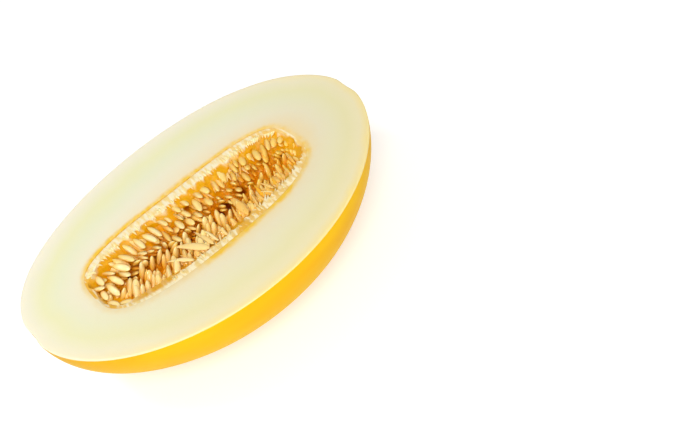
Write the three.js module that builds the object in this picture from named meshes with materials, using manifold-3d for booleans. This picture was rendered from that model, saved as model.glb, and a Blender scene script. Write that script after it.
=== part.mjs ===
// Half of a ripe muskmelon of the yellow, smooth-skinned kind, cut lengthwise through both ends.
// It lies cut face up on the small flat that its own weight presses into the rind.
// The seed hollow holds a trough-shaped lining of stringy pulp, and seeds sit in that pulp in rows.
// Millimetres, +Z up, +X along the fruit. The origin is the middle of the flat that it rests on.
import * as THREE from "three";
import { mergeVertices } from "three/addons/utils/BufferGeometryUtils.js";
import Module from "manifold-3d";

const wasm = await Module();
wasm.setup();

// Driving dimensions of the fruit
const LENGTH = 235;
const DIAMETER = 147.6;
const BOW = 6.6; // how far the two ends bend to +Y of the middle
const END_SHAPE = { sharpness: 0.98, sharperAtX: 0.06, fullerAtX: 0.01 }; // 1, 0, 0 is an ellipsoid
const REST_FLAT_DEPTH = 1.2; // how much of the belly the resting flat takes off
const CUT_HEIGHT = DIAMETER / 2 - REST_FLAT_DEPTH; // the cut face, above the resting flat

// Seed hollow in the flesh: a bar with rounded ends
const HOLLOW = { length: 148, halfWidth: 29, depth: 30, shiftX: -5, shiftY: -1.8, squareness: 3.2 };

// Pulp lining, and the open trough down its middle
const GAP = 0.3; // between pieces that touch
const SEAT_CLEARANCE = 0.45; // round a seed in its seat, less where the seed narrows
const PULP_BELOW_CUT = 0.4;
const TROUGH = { length: 144, halfWidth: 22.3, depth: 20, squareness: 3 };

// A seed, and the rows in which the seeds stand round the trough: each row's angle round the
// trough from its +Y edge over its bottom, and how far its seeds lean onward from square, in degrees
const SEED = { length: 11.5, width: 5, thickness: 2.4, taper: 0.28, sunk: 2.6 };
const SEED_ROWS = [
  { name: "far_top", around: 22, lean: 32, count: 9 },
  { name: "far_middle", around: 50, lean: 26, count: 10 },
  { name: "far_deep", around: 78, lean: 18, count: 9 },
  { name: "near_deep", around: 106, lean: 10, count: 10 },
  { name: "near_middle", around: 132, lean: 6, count: 9 },
  { name: "near_top", around: 157, lean: 4, count: 9 },
];
const ROW_REACH = 0.84; // share of the trough's length that a row fills
const SLANT = {
  // how far the seeds of either side slope along the fruit
  far: { middle: 0.02, lessTowardX: 0.45 },
  near: { middle: 0.3, lessTowardX: 0.25 },
};
const FLAT_SIDE_TILT = 55; // degrees from +X up to the way the seeds' flat sides face
const WANDER = { along: 0.02, around: 3, lean: 5, slant: 0.12, roll: 0.2 }; // how uneven the rows are

const RIND_YELLOW = 0xf7bd07;
const PULP_ORANGE = 0xe9a02c;
const SEED_TAN = 0xe3b871;

const rad = THREE.MathUtils.degToRad;

// A number from -1 to 1 that is always the same for the same key
function wobble(key) {
  const x = Math.sin(key * 12.9898) * 43758.5453;
  return 2 * (x - Math.floor(x)) - 1;
}

// The fruit's axis as seen from above: a shallow bow
const axisY = (x) => BOW * (x / (LENGTH / 2)) ** 2;

// Share of its full width that a rounded bar has left: 1 in its middle (along 0) and 0 at its ends (along 1)
const barShare = (along, squareness) =>
  (1 - Math.min(1, Math.abs(along)) ** squareness) ** (1 / squareness);

// A closed geometry as a solid for joining and cutting
function solid(geometry) {
  const bare = geometry.clone();
  bare.deleteAttribute("normal");
  bare.deleteAttribute("uv");
  const merged = mergeVertices(bare, 1e-3);
  return new wasm.Manifold(
    new wasm.Mesh({
      numProp: 3,
      vertProperties: merged.attributes.position.array,
      triVerts: new Uint32Array(merged.index.array),
    }),
  );
}

// A solid as a geometry again
function geometryOf(made) {
  const { vertProperties, triVerts } = made.getMesh();
  const geometry = new THREE.BufferGeometry();
  geometry.setAttribute("position", new THREE.BufferAttribute(vertProperties, 3));
  geometry.setIndex(new THREE.BufferAttribute(triVerts, 1));
  geometry.computeVertexNormals();
  return geometry;
}

// Moves every corner of a geometry by a function of its place
function reshape(geometry, change) {
  const place = geometry.attributes.position;
  const corner = new THREE.Vector3();
  for (let i = 0; i < place.count; i++) {
    change(corner.fromBufferAttribute(place, i));
    place.setXYZ(i, corner.x, corner.y, corner.z);
  }
  return geometry;
}

// A round body lying along X, whose radius comes from a formula of the angle, 0 at -X to pi at +X
function roundBody(halfLength, radiusAt, stations, sides) {
  const profile = [];
  for (let i = 0; i <= stations; i++) {
    const angle = (Math.PI * i) / stations;
    const onAxis = i === 0 || i === stations;
    profile.push(new THREE.Vector2(onAxis ? 0 : radiusAt(angle), -halfLength * Math.cos(angle)));
  }
  return new THREE.LatheGeometry(profile, sides).rotateZ(-Math.PI / 2);
}

// Everything between two heights
function slab(bottom, top) {
  const box = new THREE.BoxGeometry(2 * LENGTH, 2 * LENGTH, top - bottom);
  return solid(box.translate(0, 0, (top + bottom) / 2));
}

// The whole fruit: nearly an ellipsoid of revolution, a little blunter at its -X end
function wholeFruit() {
  const radiusAt = (angle) => {
    const towardX = -Math.cos(angle);
    const sharpness = END_SHAPE.sharpness + END_SHAPE.sharperAtX * towardX;
    return (DIAMETER / 2) * Math.sin(angle) ** sharpness * (1 + END_SHAPE.fullerAtX * towardX);
  };
  const fruit = roundBody(LENGTH / 2, radiusAt, 44, 64);
  return solid(reshape(fruit, (p) => p.set(p.x, p.y + axisY(p.x), p.z + CUT_HEIGHT)));
}

// A rounded bar where the seed hollow is, bent as the fruit is, with its middle on the cut face
function hollowBar(length, halfWidth, depth, squareness) {
  const bar = roundBody(length / 2, (angle) => barShare(Math.cos(angle), squareness), 22, 32);
  reshape(bar, (p) =>
    p.set(
      p.x + HOLLOW.shiftX,
      p.y * halfWidth + HOLLOW.shiftY + axisY(p.x),
      p.z * depth + CUT_HEIGHT,
    ),
  );
  return solid(bar);
}

function melonHalf() {
  const hollow = hollowBar(HOLLOW.length, HOLLOW.halfWidth, HOLLOW.depth, HOLLOW.squareness);
  return wholeFruit().intersect(slab(0, CUT_HEIGHT)).subtract(hollow);
}

// One seed: a flat drop whose narrow end, at -Y, is held in the pulp
function seedGeometry(grown = 0) {
  return reshape(new THREE.SphereGeometry(1, 8, 6), (p) => {
    const narrowed = 1 - SEED.taper * Math.max(0, -p.y) ** 2;
    p.set(
      p.x * narrowed * (SEED.width / 2 + grown),
      p.y * (SEED.length / 2 + grown),
      p.z * narrowed * (SEED.thickness / 2 + grown),
    );
  });
}

// Where one seed of a row stands: it points into the trough, leans onward round it, and slopes
function seedPlace(row, rowNumber, index) {
  const key = 100 * rowNumber + index + 1;
  const stagger = rowNumber % 2 ? 0.25 : 0.75;
  const along = (2 * (index + stagger)) / row.count - 1 + WANDER.along * wobble(key);
  const x = (along * ROW_REACH * TROUGH.length) / 2;
  const share = barShare((2 * x) / TROUGH.length, TROUGH.squareness);
  const around = rad(row.around + WANDER.around * wobble(key + 0.3));
  const onWall = new THREE.Vector3(
    x + HOLLOW.shiftX,
    Math.cos(around) * TROUGH.halfWidth * share + HOLLOW.shiftY + axisY(x),
    -Math.sin(around) * TROUGH.depth * share + CUT_HEIGHT - PULP_BELOW_CUT,
  );

  const inward = new THREE.Vector3(0, -Math.cos(around), Math.sin(around));
  const onward = new THREE.Vector3(0, -Math.sin(around), -Math.cos(around));
  const lean = rad(row.lean + WANDER.lean * wobble(key + 0.6));
  const { middle, lessTowardX } = row.around < 90 ? SLANT.far : SLANT.near;
  const slant = middle - lessTowardX * along + WANDER.slant * wobble(key + 0.9);
  const points = inward.multiplyScalar(Math.cos(lean)).addScaledVector(onward, Math.sin(lean));
  points.setX(slant).normalize();

  const tilt = rad(FLAT_SIDE_TILT);
  const facing = new THREE.Vector3(Math.cos(tilt), WANDER.roll * wobble(key + 1.2), Math.sin(tilt));
  const across = new THREE.Vector3().crossVectors(points, facing).normalize();
  const flat = new THREE.Vector3().crossVectors(across, points);
  const turn = new THREE.Matrix4().makeBasis(across, points, flat);
  return turn.setPosition(onWall.addScaledVector(points, SEED.length / 2 - SEED.sunk));
}

const seeds = SEED_ROWS.flatMap((row, rowNumber) =>
  Array.from({ length: row.count }, (_, index) => ({
    name: `seed_${row.name}_${String(index + 1).padStart(2, "0")}`,
    place: seedPlace(row, rowNumber, index),
  })),
);

// The lining of the hollow, with a seat for every seed
function seedPulp() {
  const lining = hollowBar(
    HOLLOW.length - 2 * GAP,
    HOLLOW.halfWidth - GAP,
    HOLLOW.depth - GAP,
    HOLLOW.squareness,
  );
  const trough = hollowBar(TROUGH.length, TROUGH.halfWidth, TROUGH.depth, TROUGH.squareness);
  const seats = seeds.map(({ place }) => solid(seedGeometry(SEAT_CLEARANCE).applyMatrix4(place)));
  return lining
    .intersect(slab(0, CUT_HEIGHT - PULP_BELOW_CUT))
    .subtract(trough)
    .subtract(seats.reduce((joined, seat) => joined.add(seat)));
}

const finishes = {
  melon: new THREE.MeshStandardMaterial({ color: RIND_YELLOW, roughness: 0.45, metalness: 0 }),
  pulp: new THREE.MeshStandardMaterial({ color: PULP_ORANGE, roughness: 0.3, metalness: 0 }),
  seed: new THREE.MeshStandardMaterial({ color: SEED_TAN, roughness: 0.35, metalness: 0 }),
};

function piece(name, geometry, finish) {
  const mesh = new THREE.Mesh(geometry, finish);
  mesh.name = name;
  return mesh;
}

const muskmelon = new THREE.Group();
muskmelon.add(piece("melon_half", geometryOf(melonHalf()), finishes.melon));
muskmelon.add(piece("seed_pulp", geometryOf(seedPulp()), finishes.pulp));

for (const { name, place } of seeds) {
  const seed = piece(name, seedGeometry(), finishes.seed);
  seed.applyMatrix4(place);
  muskmelon.add(seed);
}

export default muskmelon;
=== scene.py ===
# A muskmelon half that lies cut face up, with seeds standing in the pulp of its open hollow.
# The fixed frame is loaded first. Its nodes give every place and size that the looks build on.
import bpy
import bmesh
import math
import random
from mathutils import Matrix, Quaternion, Vector, noise


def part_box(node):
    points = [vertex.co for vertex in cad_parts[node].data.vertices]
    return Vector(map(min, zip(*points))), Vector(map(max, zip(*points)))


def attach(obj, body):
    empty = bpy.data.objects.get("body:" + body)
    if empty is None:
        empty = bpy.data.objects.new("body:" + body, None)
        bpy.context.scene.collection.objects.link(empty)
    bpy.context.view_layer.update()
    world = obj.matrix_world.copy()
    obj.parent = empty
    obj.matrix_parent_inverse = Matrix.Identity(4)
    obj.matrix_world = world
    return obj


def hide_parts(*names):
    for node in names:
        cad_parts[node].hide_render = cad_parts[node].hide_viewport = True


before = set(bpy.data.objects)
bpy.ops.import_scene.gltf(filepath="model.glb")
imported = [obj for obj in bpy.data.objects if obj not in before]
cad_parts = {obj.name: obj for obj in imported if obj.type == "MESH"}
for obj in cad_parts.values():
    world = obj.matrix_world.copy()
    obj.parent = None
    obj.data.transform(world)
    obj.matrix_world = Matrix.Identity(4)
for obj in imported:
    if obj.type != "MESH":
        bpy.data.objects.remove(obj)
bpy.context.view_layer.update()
MM = 0.001


# ---------------------------------------------------------------------------------------------
# Camera: a normal lens that looks down on the cut face from beyond the fruit's -Y side,
# rolled so that the fruit's +X end points up and to the right.
CAMERA_PLACE = Vector((-95.1, -372.3, 474.4)) * MM
CAMERA_AIM = Vector((46.0, -73.0, 72.6)) * MM
CAMERA_ROLL = math.radians(-20.5)
CAMERA_LENS = 50

camera = bpy.data.objects.new("camera", bpy.data.cameras.new("camera"))
camera.data.lens = CAMERA_LENS
camera.data.clip_start = 0.01
camera.location = CAMERA_PLACE
camera.rotation_mode = "QUATERNION"
upright = (CAMERA_AIM - CAMERA_PLACE).to_track_quat("-Z", "Y")
camera.rotation_quaternion = upright @ Quaternion((0, 0, 1), CAMERA_ROLL)
bpy.context.scene.collection.objects.link(camera)
bpy.context.scene.camera = camera
bpy.context.scene.view_settings.view_transform = "Standard"


# ---------------------------------------------------------------------------------------------
# Light: a high softbox on the camera's side, a small one high beyond the -X end, a wide low one in
# front, and a pale studio all round. Together they light a level surface at about the level at
# which its colour is written.
LIGHT_AIM = Vector((0, 0, 0.05))
STUDIO_GLOW = 0.4


def soft_box(name, place, size, watts):
    """A square lamp that points at the fruit. Its size is in metres."""
    lamp = bpy.data.lights.new(name, "AREA")
    lamp.shape = "SQUARE"
    lamp.size = size
    lamp.energy = watts
    box = bpy.data.objects.new(name, lamp)
    box.location = place
    box.rotation_mode = "QUATERNION"
    box.rotation_quaternion = (LIGHT_AIM - box.location).to_track_quat("-Z", "Y")
    bpy.context.scene.collection.objects.link(box)


soft_box("front_softbox", Vector((-0.3, -0.72, 1.1)), 0.5, 8.5)
soft_box("key_softbox", Vector((-0.4, 0.25, 1.0)), 0.2, 2.3)
soft_box("fill_softbox", Vector((-0.3, -1.2, 0.5)), 1.0, 4.0)


def add_node(tree, kind, inputs=None, **settings):
    """Adds a node. Each input, by name or number, is a value or another node's output socket."""
    node = tree.nodes.new(kind)
    for name, value in settings.items():
        setattr(node, name, value)
    for key, value in (inputs or {}).items():
        if isinstance(value, bpy.types.NodeSocket):
            tree.links.new(value, node.inputs[key])
        else:
            node.inputs[key].default_value = value
    return node


# The studio's glow lights the fruit. The camera and reflections see it as white.
world = bpy.data.worlds.new("pale_studio")
bpy.context.scene.world = world
world.use_nodes = True
sky = world.node_tree
sky.nodes.clear()
rays = add_node(sky, "ShaderNodeLightPath")
clear = add_node(sky, "ShaderNodeMath", {0: rays.outputs["Is Glossy Ray"],
                                         1: rays.outputs["Is Transmission Ray"]}, operation="MAXIMUM")
seen = add_node(sky, "ShaderNodeMath", {0: rays.outputs["Is Camera Ray"], 1: clear.outputs[0]},
                operation="MAXIMUM")
glow = add_node(sky, "ShaderNodeMapRange", {"Value": seen.outputs[0], "To Min": STUDIO_GLOW, "To Max": 1.0})
backdrop = add_node(sky, "ShaderNodeBackground", {"Color": (1, 1, 1, 1), "Strength": glow.outputs[0]})
add_node(sky, "ShaderNodeOutputWorld", {"Surface": backdrop.outputs[0]})


# ---------------------------------------------------------------------------------------------
# Floor: a plain white table top, wide enough to fill the view. It keeps the fruit's soft shadow.
FLOOR_SIZE = 6.0
FLOOR_WHITE = "F6F6F4"
FLOOR_LIFT = 0.32  # a little glow that only the camera sees


def paint(hex_colour):
    """An sRGB hex colour as linear red, green, blue and alpha."""
    parts = [int(hex_colour[i:i + 2], 16) / 255 for i in (0, 2, 4)]
    return (*(c / 12.92 if c <= 0.04045 else ((c + 0.055) / 1.055) ** 2.4 for c in parts), 1)


def new_material(name):
    """A new material, its node tree and its Principled shader."""
    material = bpy.data.materials.new(name)
    material.use_nodes = True
    return material, material.node_tree, material.node_tree.nodes["Principled BSDF"]


def new_piece(name, bm, materials, smooth=True, crease=180):
    """Turns a bmesh into an object at the origin. Edges bent by more than the crease stay sharp."""
    mesh = bpy.data.meshes.new(name)
    for edge in bm.edges:
        edge.smooth = edge.calc_face_angle(0) < math.radians(crease)
    for face in bm.faces:
        face.smooth = smooth
    bm.to_mesh(mesh)
    bm.free()
    for material in materials:
        mesh.materials.append(material)
    piece = bpy.data.objects.new(name, mesh)
    bpy.context.scene.collection.objects.link(piece)
    return piece


# Laminate: matt and even, so that it shows nothing but the shadow
white_laminate, tree, shader = new_material("white_laminate")
shader.inputs["Base Color"].default_value = paint(FLOOR_WHITE)
shader.inputs["Roughness"].default_value = 0.7
rays = add_node(tree, "ShaderNodeLightPath")
lift = add_node(tree, "ShaderNodeMath", {0: rays.outputs["Is Camera Ray"], 1: FLOOR_LIFT},
                operation="MULTIPLY")
shader.inputs["Emission Color"].default_value = (1, 1, 1, 1)
tree.links.new(lift.outputs[0], shader.inputs["Emission Strength"])

bm = bmesh.new()
bmesh.ops.create_grid(bm, x_segments=1, y_segments=1, size=FLOOR_SIZE / 2)
floor = new_piece("floor", bm, [white_laminate], smooth=False)


# ---------------------------------------------------------------------------------------------
# Rind and flesh: one grown piece, cut lengthwise with a knife. The rind is smooth and waxy with a
# corky scar at each end. The flesh is pale, greener under the rind and golden where pulp touched it.
low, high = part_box("melon_half")
HALF_LENGTH = (high.x - low.x) / 2
RADIUS = (high.y - low.y) / 2
CUT = high.z
BOW = 6.6 * MM  # how far the ends bend to +Y
SHARPNESS = 0.98  # 1 makes an ellipse, and less makes blunter ends
SHARPER_AT_X = 0.06
FULLER_AT_X = 0.01
BROAD_SWELL = 0.35 * MM
FINE_SWELL = 0.18 * MM
SCAR_DEPTH = 1.3 * MM
SCAR_WIDTH = 6.5 * MM
PUCKERS = 9
PUCKER_DEPTH = 0.22 * MM
PUCKER_RING = 12 * MM  # how far the puckers lie from the scar's middle
PUCKER_WIDTH = 8 * MM

GAP = 0.3 * MM  # between the flesh and the pulp
low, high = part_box("seed_pulp")
HOLLOW_MIDDLE = Vector(((low.x + high.x) / 2, (low.y + high.y) / 2, CUT))
HOLLOW_REACH = Vector(((high.x - low.x) / 2 + GAP, (high.y - low.y) / 2 + GAP, CUT - low.z + GAP))
HOLLOW_SQUARENESS = 3.2
UP = Vector((0, 0, 1))


def clamp(t):
    """The nearest number from 0 to 1."""
    return max(0, min(1, t))


def ease(t):
    """A share from 0 to 1, eased so that it starts and ends slowly."""
    return t * t * (3 - 2 * t)


def bow_at(x):
    """How far the fruit's bent axis lies to +Y."""
    return BOW * (x / HALF_LENGTH) ** 2


def ripple(place, wavelength, seed=0.0):
    """Smooth noise from -1 to 1 with the given wavelength."""
    return noise.noise(place / wavelength + Vector((seed, seed * 1.7, seed * 2.3)))


def rind_point(way):
    """The rind's surface in a direction from the middle of the cut face."""
    radial = max(math.hypot(way.y, way.z), 1e-6)
    girth = RADIUS * radial ** (SHARPNESS + SHARPER_AT_X * way.x) * (1 + FULLER_AT_X * way.x)
    x = HALF_LENGTH * way.x
    around = Vector((x * 0.35, girth * way.y / radial, girth * way.z / radial))
    girth += (BROAD_SWELL * ripple(around, 45 * MM) + FINE_SWELL * ripple(around, 14 * MM, 5.0)) * radial
    # The ends draw in to a small scar with faint puckers round it
    pucker = PUCKER_DEPTH * math.sin(PUCKERS * math.atan2(way.z, way.y))
    pucker *= math.exp(-((girth - PUCKER_RING) / PUCKER_WIDTH) ** 2)
    dimple = SCAR_DEPTH * math.exp(-(girth / SCAR_WIDTH) ** 2)
    x -= math.copysign(dimple + pucker, way.x) if abs(way.x) > 0.9 else 0
    return Vector((x, girth * way.y / radial + bow_at(x), max(0, CUT + girth * way.z / radial)))


def bar_point(way, middle, reach, squareness):
    """A rounded bar's surface in a direction from its middle, bent as the fruit is."""
    size = abs(way.x) ** squareness + math.hypot(way.y, way.z) ** squareness
    out = way * size ** (-1 / squareness)
    x = middle.x + out.x * reach.x
    return Vector((x, middle.y + bow_at(x) + out.y * reach.y, middle.z + out.z * reach.z))


def sphere_rings(bm, segments, rings):
    """A unit ball's vertices, each with its share of the way from the top pole to the bottom one."""
    made = bmesh.ops.create_uvsphere(bm, u_segments=segments, v_segments=rings, radius=1)
    return [(v, math.acos(max(-1, min(1, v.co.z))) / math.pi) for v in made["verts"]]


def tipped(v, down):
    """The direction of a ball's vertex, tipped to the given angle below level."""
    flat = Vector((v.co.x, v.co.y, 0))
    level = flat.normalized() if flat.length > 1e-6 else Vector((1, 0, 0))
    return level * math.cos(down) - UP * math.sin(down)


def inward_at(place):
    """The level direction from a place in the hollow's rim to the line down the hollow's middle."""
    end = HOLLOW_REACH.x - HOLLOW_REACH.y
    x = max(HOLLOW_MIDDLE.x - end, min(HOLLOW_MIDDLE.x + end, place.x))
    return (Vector((x, HOLLOW_MIDDLE.y + bow_at(x), place.z)) - place).normalized()


# The ball's top rings become the hollow's wall, the next ones the cut face, and the rest the rind
FACE_RINGS = (0.12, 0.42)  # shares of the ball's rings where the cut face begins and ends
RING_SLACK = 1e-4
DEEP_IN_FLESH = 40  # millimetres under the rind
RIM_WEAR = 0.4  # millimetres by which the cut's edges are rounded, at the hollow and at the rind
RIND_WEAR = 0.45
SCAR_REACH = {1: 9, -1: 5}  # millimetres of cork at the +X end and at the -X end
DEEPER_TONE_TO_X = 0.28  # the flesh is darker and more golden towards +X, and towards the near side, which is -Y
DEEPER_TONE_TO_NEAR = 0.43
STAIN_PATCH = 16 * MM
FAINT_STAIN = 0.3

bm = bmesh.new()
under_rind = bm.verts.layers.float.new("under_rind")
tinge = bm.verts.layers.float.new("tinge")
deeper_tone = bm.verts.layers.float.new("deeper_tone")
buried = bm.verts.layers.float.new("buried")
scar = bm.verts.layers.float.new("scar")
rim_start, rim_end = FACE_RINGS
for v, share in sphere_rings(bm, 250, 160):
    level = tipped(v, 0)
    rim = bar_point(level, HOLLOW_MIDDLE, HOLLOW_REACH, HOLLOW_SQUARENESS)
    edge = rind_point(level)
    off_hollow = 0
    if share < rim_start - RING_SLACK:
        # The hollow's wall
        down = math.pi / 2 * (1 - share / rim_start)
        place = bar_point(tipped(v, down), HOLLOW_MIDDLE, HOLLOW_REACH, HOLLOW_SQUARENESS)
        v[under_rind] = DEEP_IN_FLESH
    elif share < rim_end + RING_SLACK:
        # The cut face, from the hollow out to the rind
        across = ease((share - rim_start) / (rim_end - rim_start))
        place = rim.lerp(edge, across)
        v[under_rind] = (edge - place).length / MM
        off_hollow = (place - rim).length / MM
        worn = RIM_WEAR * math.exp(-off_hollow / 1.5) + RIND_WEAR * math.exp(-v[under_rind] / 0.4)
        place.z = CUT - max(0, worn + 0.12 * ripple(place, 18 * MM, 3.0) * across) * MM
    else:
        # The rind
        down = math.pi / 2 * (share - rim_end) / (1 - rim_end)
        place = rind_point(tipped(v, down))
        end_side = math.copysign(1, place.x)
        end = rind_point(Vector((end_side, 0, 0)))
        v[scar] = max(0, 1 - (place - end).length / MM / SCAR_REACH[end_side])
    v[deeper_tone] = ease(clamp(0.5 + DEEPER_TONE_TO_X * place.x / HALF_LENGTH - DEEPER_TONE_TO_NEAR * place.y / RADIUS))
    # Pulp stains the flesh round the hollow: most towards -X on the far side, and in patches from
    # mid-length to +X on the near side
    far_side = -inward_at(rim).y
    patchy = 0.5 + 0.5 * ripple(place, STAIN_PATCH, 6.0)
    far_stain = max(0, far_side) * (0.8 - 0.3 * max(-1, min(1, rim.x / (40 * MM))))
    near_stain = max(0, -far_side) * ease(clamp((rim.x + 35 * MM) / (25 * MM))) * (0.1 + 1.3 * patchy)
    stain_reach = 2.6 + 2 * patchy + 1.5 * max(0, -far_side)
    reached = 1 - off_hollow / stain_reach if share < rim_end else 0
    faint = FAINT_STAIN * v[deeper_tone] * math.exp(-off_hollow / 6) if off_hollow else 0
    v[tinge] = min(1, far_stain + near_stain + 0.2) * clamp(1.6 * reached) + faint
    v[buried] = max(0, 1 - off_hollow / 3) if share < rim_end else 0
    v.co = place
for face in bm.faces:
    face.material_index = 0 if all(v[under_rind] < RING_SLACK for v in face.verts) else 1
bmesh.ops.recalc_face_normals(bm, faces=bm.faces)

RIND_YELLOW = "F9C604"
RIND_DEEP = "F3B302"
CORK = "C9AE7C"
STAIN = "F0C23C"
STAIN_DEEP = "E0A81A"


def grain(size):
    """A noise texture's scale, for blots of a size given in millimetres."""
    return 1 / (size * MM)


# Melon rind: a thin waxy skin with a dull sheen, faint clouds of deeper yellow, and corky ends
waxy_rind, tree, shader = new_material("waxy_yellow_rind")
place = add_node(tree, "ShaderNodeTexCoord").outputs["Object"]
along = add_node(tree, "ShaderNodeMapping", {"Vector": place, "Scale": (0.25, 1, 1)})
blush = add_node(tree, "ShaderNodeTexNoise", {"Vector": along.outputs[0], "Scale": grain(35.7),
                                             "Detail": 3.0})
tone = add_node(tree, "ShaderNodeMapRange", {"Value": blush.outputs[0], "From Min": 0.35, "From Max": 0.75})
skin = add_node(tree, "ShaderNodeMix", {0: tone.outputs[0], 6: paint(RIND_YELLOW), 7: paint(RIND_DEEP)},
                data_type="RGBA")
ends = add_node(tree, "ShaderNodeAttribute", attribute_name="scar").outputs["Fac"]
rough = add_node(tree, "ShaderNodeTexNoise", {"Vector": place, "Scale": grain(1.43), "Detail": 3.0})
edged = add_node(tree, "ShaderNodeMath", {0: rough.outputs[0], 1: 0.5, 2: ends}, operation="MULTIPLY_ADD")
corky = add_node(tree, "ShaderNodeMapRange", {"Value": edged.outputs[0], "From Min": 0.5, "From Max": 0.62})
hide = add_node(tree, "ShaderNodeMix", {0: corky.outputs[0], 6: skin.outputs[2], 7: paint(CORK)},
                data_type="RGBA")
tree.links.new(hide.outputs[2], shader.inputs["Base Color"])
shader.inputs["Roughness"].default_value = 0.4
shader.inputs["IOR"].default_value = 1.14
shader.inputs["Subsurface Weight"].default_value = 0.1
shader.inputs["Subsurface Radius"].default_value = (1.0, 0.45, 0.1)
shader.inputs["Subsurface Scale"].default_value = 2 * MM
pores = add_node(tree, "ShaderNodeTexNoise", {"Vector": place, "Scale": grain(1.11), "Detail": 2.0})
skin_bump = add_node(tree, "ShaderNodeBump", {"Height": pores.outputs[0], "Strength": 0.12,
                                             "Distance": 0.1 * MM})
tree.links.new(skin_bump.outputs[0], shader.inputs["Normal"])

# Melon flesh, cut: wet and a little clear, in soft bands from the rind inwards. Each band is where
# it lies, then its colour on the pale side and on the darker, more golden side of the fruit.
FLESH_DEPTH = 45.0  # millimetres from the first band to the last
FLESH_BANDS = ((0.0, "F8F0D8", "F2DE98"), (0.12, "F1ECD0", "EBE0B4"), (0.3, "ECEABC", "E6DEAE"),
               (0.5, "EAEAC8", "E6DFB8"), (0.7, "EFEACE", "E6DDBC"), (1.0, "F3E6C6", "E9D6A8"))

pale_flesh, tree, shader = new_material("pale_melon_flesh")
depth, stain, deeper_toned, buried = (
    add_node(tree, "ShaderNodeAttribute", attribute_name=name).outputs["Fac"]
    for name in ("under_rind", "tinge", "deeper_tone", "buried"))
place = add_node(tree, "ShaderNodeTexCoord").outputs["Object"]
cloud = add_node(tree, "ShaderNodeTexNoise", {"Vector": place, "Scale": grain(22.2), "Detail": 4.0})
shift = add_node(tree, "ShaderNodeMath", {0: cloud.outputs[0], 1: 12.0, 2: -6.0}, operation="MULTIPLY_ADD")
blurred = add_node(tree, "ShaderNodeMath", {0: depth, 1: shift.outputs[0]}, operation="ADD")
inner = add_node(tree, "ShaderNodeMath", {0: depth, 1: blurred.outputs[0]}, operation="MINIMUM")
bands = add_node(tree, "ShaderNodeMapRange", {"Value": inner.outputs[0], "From Max": FLESH_DEPTH})
ramps = []
for side in (1, 2):
    ramp = add_node(tree, "ShaderNodeValToRGB", {"Fac": bands.outputs[0]})
    ramps.append(ramp.outputs[0])
    for n, band in enumerate(FLESH_BANDS):
        stop = ramp.color_ramp.elements[n] if n < 2 else ramp.color_ramp.elements.new(band[0])
        stop.position = band[0]
        stop.color = paint(band[side])
flesh = add_node(tree, "ShaderNodeMix", {0: deeper_toned, 6: ramps[0], 7: ramps[1]}, data_type="RGBA")
fine = add_node(tree, "ShaderNodeTexNoise", {"Vector": place, "Scale": grain(3.85), "Detail": 3.0})
uneven = add_node(tree, "ShaderNodeMapRange", {"Value": fine.outputs[0], "From Min": 0.3, "From Max": 0.7,
                                              "To Min": 0.6, "To Max": 1.2})
stained = add_node(tree, "ShaderNodeMath", {0: stain, 1: uneven.outputs[0]}, operation="MULTIPLY",
                   use_clamp=True)
seam = add_node(tree, "ShaderNodeMapRange", {"Value": buried, "From Min": 0.82, "From Max": 0.97})
seeped = add_node(tree, "ShaderNodeMath", {0: seam.outputs[0], 1: stained.outputs[0]},
                  operation="MULTIPLY")
stain_colour = add_node(tree, "ShaderNodeMix", {0: seeped.outputs[0], 6: paint(STAIN),
                                                7: paint(STAIN_DEEP)}, data_type="RGBA")
tinted = add_node(tree, "ShaderNodeMix", {0: stained.outputs[0], 6: flesh.outputs[2],
                                          7: stain_colour.outputs[2]}, data_type="RGBA")
tree.links.new(tinted.outputs[2], shader.inputs["Base Color"])
shader.inputs["Roughness"].default_value = 0.42
shader.inputs["IOR"].default_value = 1.4
clearness = add_node(tree, "ShaderNodeMapRange", {"Value": buried, "To Min": 0.35, "To Max": 0.0})
tree.links.new(clearness.outputs[0], shader.inputs["Subsurface Weight"])
shader.inputs["Subsurface Radius"].default_value = (1.0, 0.9, 0.6)
shader.inputs["Subsurface Scale"].default_value = 2 * MM
cells = add_node(tree, "ShaderNodeTexNoise", {"Vector": place, "Scale": grain(0.714), "Detail": 2.0})
relief = add_node(tree, "ShaderNodeMath", {0: cells.outputs[0], 1: fine.outputs[0]}, operation="ADD")
wet_bump = add_node(tree, "ShaderNodeBump", {"Height": relief.outputs[0], "Strength": 0.25,
                                            "Distance": 0.2 * MM})
tree.links.new(wet_bump.outputs[0], shader.inputs["Normal"])

melon = new_piece("rind_and_flesh", bm, [waxy_rind, pale_flesh], crease=50)
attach(melon, "root")
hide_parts("melon_half")


# ---------------------------------------------------------------------------------------------
# Seed pulp: a wet, lumpy orange lining that grew in the hollow, with an open trough down its
# middle. The knife left its edge as a pale band, a little below the cut face and parted from the
# flesh by a thin golden seam. Inwards the edge is torn into teeth.
TROUGH_REACH = Vector((73.2, 23.2, 20.3)) * MM
TROUGH_SQUARENESS = 3.4
PULP_SUNK = 0.4 * MM
TROUGH_MIDDLE = HOLLOW_MIDDLE - Vector((0, 0, PULP_SUNK))
PULP_REACH = HOLLOW_REACH + Vector((1, 1, 1)) * 0.05 * MM
BAND_RINGS = (0.6, 0.84)  # shares of the ball's rings where the cut band begins and ends

# Each pit between the seeds, whose floor is darkened as painted shade: its x, y, width and length at the
# cut, in millimetres
PITS = ((-62, -6, 2.2, 3.0), (-55, -10, 1.8, 4.5), (-41, -8, 2.4, 2.4), (-35, -8, 2.2, 3.0),
        (-17, -12, 1.6, 5.0), (2, -20, 4.5, 2.3), (5.5, -13, 2.0, 5.0), (11, -11, 2.2, 6.0),
        (24, -9, 2.6, 5.5), (51, 2, 2.2, 2.5), (-7, 10, 2.0, 3.0))
PIT_WAY = Vector((-0.22, -0.9, 1.0))  # the pits slant, open towards -Y

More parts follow.
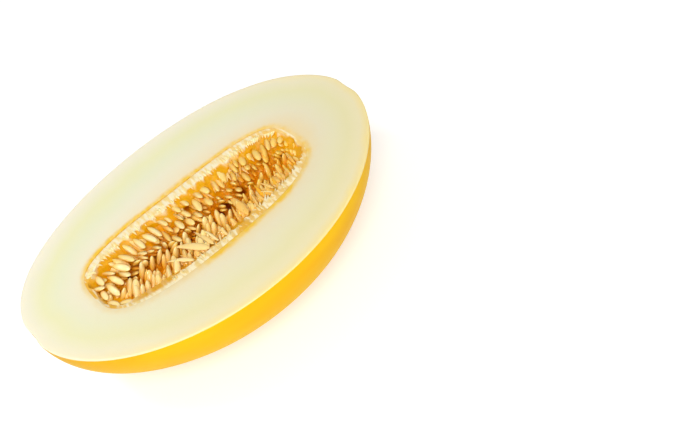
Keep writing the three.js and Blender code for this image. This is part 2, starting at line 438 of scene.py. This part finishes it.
SHELF_X = -53  # the middle of a torn shelf on the near side, in millimetres
COMB_X = 14  # where the near side's comb of fine teeth begins
COMB_FADE = 12
COMB_WAVE = 2.1  # radians to a millimetre, so that a tooth takes 3 mm
TOOTH = 2.6  # how far the teeth stand in from the edge, in millimetres
NEAR_TOOTH = 3.4  # how much further on the near side, on the comb and on the shelf
COMB_TOOTH = 3.5
SHELF_TOOTH = 5.0
END_X = -66  # from here to the -X end the lining is shallow and golden, and painted brighter there as painted light on its shaded wall
END_FADE = 10
END_SWELL = 3.5
SWELL = 4.5  # how far the lining swells in between the pits, in millimetres
SWELL_AT_X = 1.5  # how much further towards +X
SWELL_UNEVEN = 2.5
SEAM_DEPTH = 0.35  # millimetres that a groove beside the flesh goes down, on the far side


def pit_at(place):
    """From 0 to 1: how near a place is to one of the pits that pulp and seeds leave open."""
    mouth = (place + PIT_WAY * (CUT - place.z)) / MM
    return max(math.exp(-((mouth.x - x) / width) ** 2 - ((mouth.y - y) / length) ** 2)
               for x, y, width, length in PITS)


def ridge_at(brim):
    """From 0 to 1: how near a place on the trough's edge is to the crest of a ridge in its wall."""
    crest = max(0, 1 - 4.2 * abs(ripple(brim, 8 * MM, 12.0)))
    return crest * (0.7 + 0.6 * ripple(brim, 17 * MM, 2.0))


bm = bmesh.new()
below_cut = bm.verts.layers.float.new("below_cut")
on_band = bm.verts.layers.float.new("on_band")
pit_shade = bm.verts.layers.float.new("pit_shade")
amber = bm.verts.layers.float.new("amber")
near_lift = bm.verts.layers.float.new("near_lift")
band_start, band_end = BAND_RINGS
for v, share in sphere_rings(bm, 420, 110):
    # The trough's edge beside this vertex: how far its teeth stand in, and how far they hang
    level = tipped(v, 0)
    brim = bar_point(level, TROUGH_MIDDLE, TROUGH_REACH, TROUGH_SQUARENESS)
    inward = inward_at(brim)
    near = max(0, inward.y)
    shelf = 0.6 * near * ease(clamp(3.2 - abs(brim.x / MM - SHELF_X) / 5))
    torn = min(1, 1.7 * shelf) * clamp(0.9 + 1.6 * ripple(brim, 6 * MM, 8.0))
    filled = ease(clamp(0.3 + brim.x / (25 * MM)))
    combed = near * ease(clamp((brim.x / MM - COMB_X) / COMB_FADE))
    comb = 0.5 + 0.5 * math.sin(COMB_WAVE * brim.x / MM + 4 * ripple(brim, 12 * MM, 15.0))
    ridge = ridge_at(brim) * (1 - combed) + comb ** 2 * combed * (0.7 + 0.5 * ripple(brim, 9 * MM, 16.0))
    tooth = ((TOOTH + NEAR_TOOTH * near * filled + COMB_TOOTH * combed) * ridge + SHELF_TOOTH * shelf) * MM
    inward.x += 0.9 * combed
    drop = (0.3 + 1.2 * near - 0.5 * combed) * MM + (0.4 - 0.25 * combed) * tooth
    bright_end = ease(clamp((END_X - brim.x / MM) / END_FADE))
    if share < band_start - RING_SLACK:
        # The trough's wall and floor, swollen between the pits
        down = math.pi / 2 * (1 - share / band_start)
        way = tipped(v, down)
        place = bar_point(way, TROUGH_MIDDLE, TROUGH_REACH, TROUGH_SQUARENESS)
        sunk = (TROUGH_MIDDLE.z - place.z) / MM
        lump = 1.3 * ripple(place, 7 * MM) + 0.6 * ripple(place, 3 * MM, 9.0) - 1.2
        swell = SWELL + SWELL_AT_X * filled + SWELL_UNEVEN * ripple(place, 9 * MM, 4.0)
        swell *= max(0.4, min(1, 1 + (brim.x - TROUGH_MIDDLE.x + 58 * MM) / (8 * MM)))
        swell += END_SWELL * bright_end * clamp((sunk - 4) / 6)
        lump -= swell * (1 - pit_at(place)) * min(1, sunk / 10)
        # Painted shade: the pits' floors get a dark colour, darker the deeper they lie
        v[pit_shade] = pit_at(place) * min(1, sunk / 12)
        place += way * lump * min(1, sunk / 3) * MM + inward * tooth * max(0, 1 - sunk / 7) ** 1.5
        place.z -= drop * max(0, 1 - sunk / 8)
        # At the -X end the pale band colour reaches further down the wall: painted light on that shaded wall
        v[on_band] = max(0, 1 - sunk / (0.8 + 3.5 * ridge + 2.5 * bright_end)) * (1 - torn)
    elif share < band_end + RING_SLACK:
        # The cut band, from the trough out to the flesh
        across = (share - band_start) / (band_end - band_start)
        place = brim.lerp(bar_point(level, TROUGH_MIDDLE, PULP_REACH, HOLLOW_SQUARENESS), across)
        place += inward * tooth * max(0, 1 - across / 0.7) ** 1.3
        groove = SEAM_DEPTH * max(0, -inward.y) * math.exp(-((1 - across) / 0.08) ** 2)
        dimples = 0.25 * (1 - across) * ripple(place, 2.4 * MM, 4.0)
        place.z -= drop * (1 - across) ** 1.5 + (groove + dimples) * MM
        v[on_band] = 1 - torn * ease(clamp(2 - 3 * across))
    else:
        # The outside, which lies against the flesh
        down = math.pi / 2 * (share - band_end) / (1 - band_end)
        within = PULP_REACH - Vector((1, 1, 1)) * GAP * ease(min(1, 8 * down / math.pi))
        place = bar_point(tipped(v, down), TROUGH_MIDDLE, within, HOLLOW_SQUARENESS)
        place.z = min(place.z, TROUGH_MIDDLE.z - PULP_SUNK)
    v[below_cut] = (CUT - place.z) / MM
    # The cut band is more golden on its near side, towards +X, and at both ends. At the -X end the extra
    # gold is partly painted light on a shaded end.
    golden_side = ease(clamp(0.75 + brim.x / (30 * MM))) * (1 - max(0, -inward.y))
    golden_side *= 1 - 0.5 * combed
    golden_end = 0.6 * ease(clamp((abs(brim.x + 18 * MM) - 43 * MM) / (20 * MM)))
    golden = max(golden_side, golden_end, 1.2 * bright_end, 0.1)
    v[amber] = golden * (0.7 + 1.0 * ripple(place, 7 * MM, 11.0))
    # Painted light: the near band slopes away from the lamps into shade, so it is given a brighter pale
    # colour
    v[near_lift] = near
    v.co = place
bmesh.ops.recalc_face_normals(bm, faces=bm.faces)

PULP_PALE = "F5E8C2"
PULP_NEAR_LIFT = "FFF0C4"
PULP_GOLD = "F2D58C"
PULP_AMBER = "ECB23A"
PULP_ORANGE = "E4A406"
PULP_DEEP = "EC9606"
# PULP_PIT_SHADE is a dark red-brown painted into the pits as shade
PULP_PIT_SHADE = "8A2604"

# Placenta: wet, glossy and stringy, orange and deep in the trough, pale and opaque on its cut edge
wet_pulp, tree, shader = new_material("wet_orange_pulp")
depth, band, pit_shaded, gilded, near_lifted = (
    add_node(tree, "ShaderNodeAttribute", attribute_name=name).outputs["Fac"]
    for name in ("below_cut", "on_band", "pit_shade", "amber", "near_lift"))
place = add_node(tree, "ShaderNodeTexCoord").outputs["Object"]
hanging = add_node(tree, "ShaderNodeMapping", {"Vector": place, "Scale": (1, 0.3, 0.3)})
strings = add_node(tree, "ShaderNodeTexNoise", {"Vector": hanging.outputs[0], "Scale": grain(2.38),
                                               "Detail": 3.0})
sinking = add_node(tree, "ShaderNodeMapRange", {"Value": depth, "From Min": 5.0, "From Max": 15.0})
wall = add_node(tree, "ShaderNodeMix", {0: sinking.outputs[0], 6: paint(PULP_ORANGE), 7: paint(PULP_DEEP)},
                data_type="RGBA")
# The pits take the dark colour: painted shade
lining = add_node(tree, "ShaderNodeMix", {0: pit_shaded, 6: wall.outputs[2], 7: paint(PULP_PIT_SHADE)}, data_type="RGBA")
stringy = add_node(tree, "ShaderNodeMath", {0: gilded, 1: 0.14, 2: strings.outputs[0]},
                   operation="MULTIPLY_ADD")
cream = add_node(tree, "ShaderNodeMapRange", {"Value": stringy.outputs[0], "From Min": 0.45,
                                             "From Max": 0.61})
golden = add_node(tree, "ShaderNodeMix", {0: gilded, 6: paint(PULP_GOLD), 7: paint(PULP_AMBER)},
                  data_type="RGBA")
# The near band's brighter pale is painted light against its shade
pale = add_node(tree, "ShaderNodeMix", {0: near_lifted, 6: paint(PULP_PALE), 7: paint(PULP_NEAR_LIFT)},
                data_type="RGBA")
edge = add_node(tree, "ShaderNodeMix", {0: cream.outputs[0], 6: pale.outputs[2], 7: golden.outputs[2]},
                data_type="RGBA")
pulp = add_node(tree, "ShaderNodeMix", {0: band, 6: lining.outputs[2], 7: edge.outputs[2]},
                data_type="RGBA")
tree.links.new(pulp.outputs[2], shader.inputs["Base Color"])
shader.inputs["Roughness"].default_value = 0.28
shader.inputs["IOR"].default_value = 1.25
clearness = add_node(tree, "ShaderNodeMapRange", {"Value": band, "To Min": 0.35, "To Max": 0.0})
tree.links.new(clearness.outputs[0], shader.inputs["Subsurface Weight"])
shader.inputs["Subsurface Radius"].default_value = (1.0, 0.7, 0.1)
shader.inputs["Subsurface Scale"].default_value = 3 * MM
string_bump = add_node(tree, "ShaderNodeBump", {"Height": strings.outputs[0], "Strength": 0.6,
                                               "Distance": 0.8 * MM})
tree.links.new(string_bump.outputs[0], shader.inputs["Normal"])

pulp_lining = new_piece("pulp_lining", bm, [wet_pulp], crease=60)
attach(pulp_lining, "root")
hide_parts("seed_pulp")


# ---------------------------------------------------------------------------------------------
# Fringe: torn teeth and flaps along both edges of the pulp, and wet strands of it that hang over
# the seeds. Each is a spindle, wide where it grows and pointed where it ends.
FAR_TEETH = 90
FLAPS = 26
STRANDS = 80
FLAP_THICKNESS = 0.8 * MM
STRAND_FLATNESS = 0.45
BROAD_FLATNESS = 0.4
BROAD_ARCH = UP * 3.0 * MM
# Each broad strand: where it starts and ends, as x, y and the depth below the cut, its width and tone
BROAD_STRANDS = (((-14, -24.0, 2.5), (-28, -2.5, 6.0), 5.5, 0.45),
                 ((-11, -23.5, 2.5), (-13, -1.0, 8.0), 3.2, 0.5),
                 ((-8, -24.0, 2.2), (-9, -5.0, 6.5), 1.8, 0.3),
                 ((15, -22.5, 3.0), (17, 3.0, 7.5), 5.5, 0.75),
                 ((-25, -23.5, 2.5), (-37, -9.0, 5.0), 3.0, 0.35))
FIBRE_CREAM = "FFF4BC"
FIBRE_AMBER = "F6B010"
random.seed(7)


def add_fibre(bm, points, width, thickness, tone, sides=6, rings=9):
    """A closed spindle along three points of a curve, widest near its start."""
    tone_layer = bm.verts.layers.float["tone"]
    start, bend, end = points
    for v, share in sphere_rings(bm, sides, rings):
        place = start.lerp(bend, share).lerp(bend.lerp(end, share), share)
        run = (bend.lerp(end, share) - start.lerp(bend, share)).normalized()
        side = run.cross(UP).normalized()
        over = side.cross(run)
        ragged = ripple(place + (side * v.co.x + over * v.co.y) * width, 0.8 * width, 7.0)
        fat = (1 - share) ** 0.6 * 1.25 + 0.6 * ragged * (1 - share)
        fat = max(0.05, min(1.1, fat)) * max(0.2, math.hypot(v.co.x, v.co.y)) ** -0.5
        v[tone_layer] = tone
        v.co = place + (side * v.co.x * width + over * v.co.y * thickness) * fat / 2


def trough_edge(way):
    """The place on the trough's edge in a direction, and the way in from there."""
    brim = bar_point(way.normalized(), TROUGH_MIDDLE, TROUGH_REACH, TROUGH_SQUARENESS)
    return brim, inward_at(brim)


bm = bmesh.new()
bm.verts.layers.float.new("tone")
for n in range(FAR_TEETH):
    x = (n + random.uniform(-0.3, 0.3)) / FAR_TEETH * 1.9 - 0.95
    brim, inward = trough_edge(Vector((x, 0.6, 0)))
    start = brim - inward * random.uniform(1.5, 3) * MM
    start.z = CUT - 0.8 * MM
    sway = Vector((random.gauss(0.1, 0.2), 0, 0))
    end = brim + (inward + sway).normalized() * random.uniform(0.5, 3.0) * MM
    end.z = CUT - random.uniform(1.5, 3.0) * MM
    bend = start.lerp(end, 0.6)
    bend.z = CUT - 0.9 * MM
    width = random.uniform(1.2, 2.3) * MM
    add_fibre(bm, (start, bend, end), width, FLAP_THICKNESS, random.random() * 0.3)
for _ in range(FLAPS):
    x = random.uniform(-40, 62) * MM
    brim, inward = trough_edge(Vector((x / TROUGH_REACH.x, -1, 0)))
    start = brim - inward * random.uniform(2.5, 5.0) * MM
    start.z = CUT - random.uniform(0.7, 1.0) * MM
    sway = Vector((random.gauss(0.2, 0.4), 0, 0))
    end = brim + (inward + sway).normalized() * random.uniform(1.5, 3.5) * MM
    end.z = CUT - random.uniform(2.0, 3.5) * MM
    bend = start.lerp(end, 0.5)
    bend.z = CUT - random.uniform(1.3, 1.8) * MM
    width = random.uniform(1.1, 2.2) * MM
    add_fibre(bm, (start, bend, end), width, FLAP_THICKNESS, random.random() * 0.6)
for start, end, width, tone in BROAD_STRANDS:
    start = Vector((start[0], start[1], CUT / MM - start[2])) * MM
    end = Vector((end[0], end[1], CUT / MM - end[2])) * MM
    bend = start.lerp(end, 0.5) + BROAD_ARCH
    add_fibre(bm, (start, bend, end), width * MM, BROAD_FLATNESS * width * MM, tone, 10, 24)
for _ in range(STRANDS):
    x = random.triangular(-30, 66, 45) * MM
    near = random.random() < 0.65
    brim, inward = trough_edge(Vector((x / TROUGH_REACH.x, -1 if near else 1, 0)))
    start = brim + inward * random.uniform(-1, 5) * MM
    start.z = CUT - (random.uniform(2.5, 5) if near else random.uniform(6, 9)) * MM
    sway = Vector((random.gauss(0.1 if near else -0.3, 0.3), 0, 0))
    end = start + (inward + sway).normalized() * random.uniform(8, 16) * MM
    end.z = CUT - random.uniform(4, 8) * MM
    bend = start.lerp(end, 0.5)
    bend.z += random.uniform(0, 2) * MM
    if pit_at(bend) > 0.4:
        continue
    width = random.uniform(1.0, 3.0) * MM
    add_fibre(bm, (start, bend, end), width, width * STRAND_FLATNESS, random.uniform(0.4, 1), 8, 10)
bmesh.ops.recalc_face_normals(bm, faces=bm.faces)

# Torn pulp: soft, moist and half clear, from cream where it is thin to amber where it is thick
pale_fibre, tree, shader = new_material("pale_pulp_fibre")
tone = add_node(tree, "ShaderNodeAttribute", attribute_name="tone").outputs["Fac"]
body = add_node(tree, "ShaderNodeMix", {0: tone, 6: paint(FIBRE_CREAM), 7: paint(FIBRE_AMBER)},
                data_type="RGBA")
tree.links.new(body.outputs[2], shader.inputs["Base Color"])
shader.inputs["Roughness"].default_value = 0.35
shader.inputs["IOR"].default_value = 1.25
shader.inputs["Subsurface Weight"].default_value = 0.3
shader.inputs["Subsurface Radius"].default_value = (1.0, 0.8, 0.5)
shader.inputs["Subsurface Scale"].default_value = 0.3 * MM

fringe = new_piece("pulp_fringe", bm, [pale_fibre])
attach(fringe, "root")


# ---------------------------------------------------------------------------------------------
# Seeds: flat drops with a smooth, wet, tan coat. The narrow end of each is held in the pulp.
# The frame gives some of them. A few more came loose, and the rest fill the places between.
SEED_LENGTH = 11.5 * MM
SEED_WIDTH = 5.0 * MM
SEED_THICKNESS = 2.4 * MM
SEED_TAPER = 0.3
SEED_SUNK = 2.6 * MM  # how much of its narrow end the pulp holds
SEED_COVER = 1.5 * MM  # how far below the cut the random seeds stay
SEED_TRIES = 45000
SEED_TOUCH = 0.5 * MM  # how far two soft-skinned seeds may press into each other
LOOSE_TOUCH = 0.3 * MM
LOOSE_TRIES = 200
FIRST_SEEDS, LAST_SEEDS = 9, 166  # degrees round the trough, down from its far edge
FAR_WALL = 1.5  # radians round the trough, where the far wall gives way to the floor
IN_PIT = 0.5  # from here on a seed would lie in a pit, so it is left out


class Seed:
    """Where a seed stands: its middle, and the ways of its free end, its width and its flat side."""

    def __init__(self, middle, points, facing, size=1.0):
        self.middle = middle
        self.points = points.normalized()
        self.across = self.points.cross(facing).normalized()
        self.flat = self.across.cross(self.points)
        self.spread = Matrix((self.points * SEED_LENGTH * size / 2, self.across * SEED_WIDTH * size / 2,
                              self.flat * SEED_THICKNESS * size / 2))

    def clears(self, other, gap):
        """True if a plane square to one of a few ways parts the two seeds by the gap."""
        between = other.middle - self.middle
        if between.length > 1.1 * SEED_LENGTH:
            return True
        for way in (between.normalized(), self.flat, other.flat, self.across, other.across):
            if abs(between.dot(way)) > (self.spread @ way).length + (other.spread @ way).length + gap:
                return True
        return False


def frame_seed(node):
    """A seed node's place, from its corners: the long way by its ends, the flat way by its spread."""
    corners = [corner.co.copy() for corner in node.data.vertices]
    middle = sum(corners, Vector()) / len(corners)
    tip = max(corners, key=lambda c: (c - middle).length)
    points = (middle - tip).normalized()
    inward = Vector((middle.x, TROUGH_MIDDLE.y + bow_at(middle.x), CUT)) - middle
    if points.dot(inward) < 0:
        points = -points
    side = max((c - middle - points * (c - middle).dot(points) for c in corners), key=lambda c: c.length)
    return Seed(middle, points, points.cross(side))


def seed_mesh():
    """An empty mesh with the layers that the seed coat reads."""
    bm = bmesh.new()
    for name in ("tone", "along", "edge", "sunk", "underside"):
        bm.verts.layers.float.new(name)
    return bm


def add_seed(bm, seed, tone, sides=8, rings=7):
    """A closed flat drop, and what its coat reads: how far each place is along it, out to the rim,
    turned down, and below the cut."""
    layers = bm.verts.layers.float
    tone_layer, along_layer, edge_layer = layers["tone"], layers["along"], layers["edge"]
    sunk_layer, under_layer = layers["sunk"], layers["underside"]
    long_way, wide_way, flat_way = seed.spread
    for v, share in sphere_rings(bm, sides, rings):
        along = -v.co.z
        square_to = seed.points * along / SEED_LENGTH + seed.across * v.co.x / SEED_WIDTH
        square_to += seed.flat * v.co.y / SEED_THICKNESS
        narrow = (1 - SEED_TAPER * max(0, -along) ** 2) * (1 - 0.2 * along ** 4)
        v[tone_layer] = tone
        v[along_layer] = (1 + along) / 2
        v[edge_layer] = abs(v.co.x)
        # How far the place faces down: the coat paints shade on the underside
        v[under_layer] = 0.5 - 0.5 * square_to.normalized().z
        v.co = seed.middle + long_way * along + (wide_way * v.co.x + flat_way * v.co.y) * narrow
        v[sunk_layer] = (CUT - v.co.z) / MM


def tone_at(middle):
    """Seeds are paler towards -X, and no two are quite alike."""
    return 0.7 * ease(clamp(0.4 + middle.x / (100 * MM))) + 0.4 * random.random()


SEED_PALE = "FFE9A8"
SEED_TAN = "FBCF5C"
SEED_RIM = "DC9C34"
# Amber of the juice film, also used as painted shade; the deeper one is for seeds deep in the trough
JUICE_AND_SHADE = "FFC424"
DEEP_JUICE_AND_SHADE = "F8A00C"

# Seed coat: tan and smooth, browner round the rim, under a film of juice that gives small bright
# highlights. It turns amber at its narrow end, where the pulp holds it, and deep in the trough, partly
# from juice and partly as painted shade; the amber on its underside is painted shade.
seed_coat, tree, shader = new_material("wet_tan_seed_coat")
tone, along, edge, sunk, under = (
    add_node(tree, "ShaderNodeAttribute", attribute_name=name).outputs["Fac"]
    for name in ("tone", "along", "edge", "sunk", "underside"))
body = add_node(tree, "ShaderNodeMix", {0: tone, 6: paint(SEED_PALE), 7: paint(SEED_TAN)}, data_type="RGBA")
rim = add_node(tree, "ShaderNodeMapRange", {"Value": edge, "From Min": 0.5, "From Max": 0.95})
rimmed = add_node(tree, "ShaderNodeMix", {0: rim.outputs[0], 6: body.outputs[2], 7: paint(SEED_RIM)},
                  data_type="RGBA")
# Partly painted shade: the deeper a place lies below the cut, the more amber it turns
depth_shade = add_node(tree, "ShaderNodeMapRange", {"Value": sunk, "From Min": 3.5, "From Max": 11.0,
                                            "To Max": 0.95})
held = add_node(tree, "ShaderNodeMapRange", {"Value": along, "From Min": 0.0, "From Max": 0.45,
                                            "To Min": 0.8, "To Max": 0.0})
# Painted shade: the underside of each seed turns amber
underside_shade = add_node(tree, "ShaderNodeMapRange", {"Value": under, "From Min": 0.3, "From Max": 0.75})
held_and_depth_shade = add_node(tree, "ShaderNodeMath", {0: depth_shade.outputs[0], 1: held.outputs[0]}, operation="MAXIMUM")
juice_and_shade_share = add_node(tree, "ShaderNodeMath", {0: held_and_depth_shade.outputs[0], 1: underside_shade.outputs[0]}, operation="MAXIMUM")
# Deeper still, the amber darkens: painted shade
sinking = add_node(tree, "ShaderNodeMapRange", {"Value": sunk, "From Min": 6.0, "From Max": 14.0})
juice_and_shade_colour = add_node(tree, "ShaderNodeMix", {0: sinking.outputs[0], 6: paint(JUICE_AND_SHADE), 7: paint(DEEP_JUICE_AND_SHADE)},
                 data_type="RGBA")
coat = add_node(tree, "ShaderNodeMix", {0: juice_and_shade_share.outputs[0], 6: rimmed.outputs[2], 7: juice_and_shade_colour.outputs[2]},
                data_type="RGBA")
tree.links.new(coat.outputs[2], shader.inputs["Base Color"])
shader.inputs["Roughness"].default_value = 0.25
shader.inputs["IOR"].default_value = 1.2
shader.inputs["Coat Weight"].default_value = 0.8
shader.inputs["Coat Roughness"].default_value = 0.1
shader.inputs["Coat IOR"].default_value = 1.45
shader.inputs["Subsurface Weight"].default_value = 0.3
shader.inputs["Subsurface Radius"].default_value = (1.0, 0.75, 0.2)
shader.inputs["Subsurface Scale"].default_value = 1.0 * MM
place = add_node(tree, "ShaderNodeTexCoord").outputs["Object"]
film = add_node(tree, "ShaderNodeTexNoise", {"Vector": place, "Scale": grain(1.667), "Detail": 2.0})
film_bump = add_node(tree, "ShaderNodeBump", {"Height": film.outputs[0], "Strength": 0.4,
                                             "Distance": 0.4 * MM})
tree.links.new(film_bump.outputs[0], shader.inputs["Normal"])
tree.links.new(film_bump.outputs[0], shader.inputs["Coat Normal"])

seeds = []
for name, node in sorted(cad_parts.items()):
    if name.startswith("seed_") and name != "seed_pulp":
        seed = frame_seed(node)
        seeds.append(seed)
        bm = seed_mesh()
        add_seed(bm, seed, tone_at(seed.middle), 12, 9)
        bmesh.ops.recalc_face_normals(bm, faces=bm.faces)
        piece = new_piece("wet_" + name, bm, [seed_coat])
        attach(piece, "root")
        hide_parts(name)

# The loose seeds lie with a flat side up: about where, which way they point and face, and their tone
LOOSE_SEEDS = (((-71.3, 9.3, 69.0), (0.05, -0.95, 0.1), (-0.3, -0.1, 0.95), 0.2),
               ((-75.0, 0.8, 68.6), (-0.05, -0.95, 0.15), (-0.2, -0.1, 0.95), 0.1),
               ((-69.6, -1.5, 68.3), (0.15, -0.95, -0.1), (-0.4, -0.1, 0.9), 0.0),
               ((-64.5, 2.5, 67.5), (0.35, -0.9, -0.2), (-0.2, -0.3, 0.9), 0.1),
               ((-56.4, 7.5, 67.8), (0.5, -0.8, -0.1), (-0.2, -0.3, 0.9), 0.0),
               ((-61.0, -12.5, 69.4), (0.95, -0.25, 0.1), (0, 0.5, 0.85), 0.1),
               ((-74.2, -5.5, 67.5), (0.4, -0.9, 0.2), (-0.3, 0.2, 0.9), 0.25),
               ((-70.8, -10.5, 66.5), (0.75, -0.6, 0.2), (-0.3, 0.4, 0.85), 0.3),
               ((56.0, 12.0, 66.5), (0.5, -0.8, 0.1), (0.5, -0.3, 0.8), 0.6))

bm = seed_mesh()
for middle, points, facing, tone in LOOSE_SEEDS:
    for _ in range(LOOSE_TRIES):
        nudge = Vector((random.gauss(0, 1.2), random.gauss(0, 1.2), random.gauss(0, 0.6)))
        seed = Seed((Vector(middle) + nudge) * MM, Vector(points), Vector(facing), random.uniform(0.85, 1))
        if all(seed.clears(other, -LOOSE_TOUCH) for other in seeds):
            seeds.append(seed)
            add_seed(bm, seed, tone, 12, 9)
            break

# The rest are tried at random all over the trough's wall, and kept where they clear the others.
# On the far wall they lie flatter and hang down it. Towards the ends they turn to the middle.
for _ in range(SEED_TRIES):
    around = math.radians(random.uniform(FIRST_SEEDS, LAST_SEEDS))
    along = random.uniform(-0.97, 0.97)
    bulge = math.sqrt(1 - along * along)
    way = Vector((along, math.cos(around) * bulge, -math.sin(around) * bulge))
    on_wall = bar_point(way, TROUGH_MIDDLE, TROUGH_REACH, TROUGH_SQUARENESS)
    inward = Vector((-0.5 * along ** 5, -math.cos(around), math.sin(around)))
    onward = Vector((0, -math.sin(around), -math.cos(around)))
    on_far_wall = around < FAR_WALL
    lean = math.radians(random.uniform(0, 45) if on_far_wall else random.uniform(-15, 25))
    points = inward * math.cos(lean) + onward * math.sin(lean)
    points.x += random.gauss(0.02 - 0.5 * along if on_far_wall else 0.4 - 0.3 * along, 0.1)
    facing = Vector((0.5, -0.2, 0.75)) if on_far_wall else Vector((0.6, -0.6, 0.5))
    facing += Vector((random.gauss(0, 0.3), random.gauss(0, 0.25), random.gauss(0, 0.25)))
    seed = Seed(on_wall, points, facing, random.uniform(0.9, 1.1))
    seed.middle += seed.points * (SEED_LENGTH / 2 - SEED_SUNK * random.uniform(0.4, 1.6))
    seed.middle += inward * random.random() ** 1.3 * (5 + 8 * math.sin(around)) * MM
    reach = seed.points * 0.3 * SEED_LENGTH
    if max(pit_at(seed.middle + reach), pit_at(seed.middle), pit_at(seed.middle - reach)) > IN_PIT:
        continue
    if seed.middle.z + (seed.spread @ UP).length > CUT - SEED_COVER:
        continue
    if all(seed.clears(other, -SEED_TOUCH) for other in seeds):
        seeds.append(seed)
        add_seed(bm, seed, tone_at(seed.middle))
bmesh.ops.recalc_face_normals(bm, faces=bm.faces)
more_seeds = new_piece("more_seeds", bm, [seed_coat])
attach(more_seeds, "root")
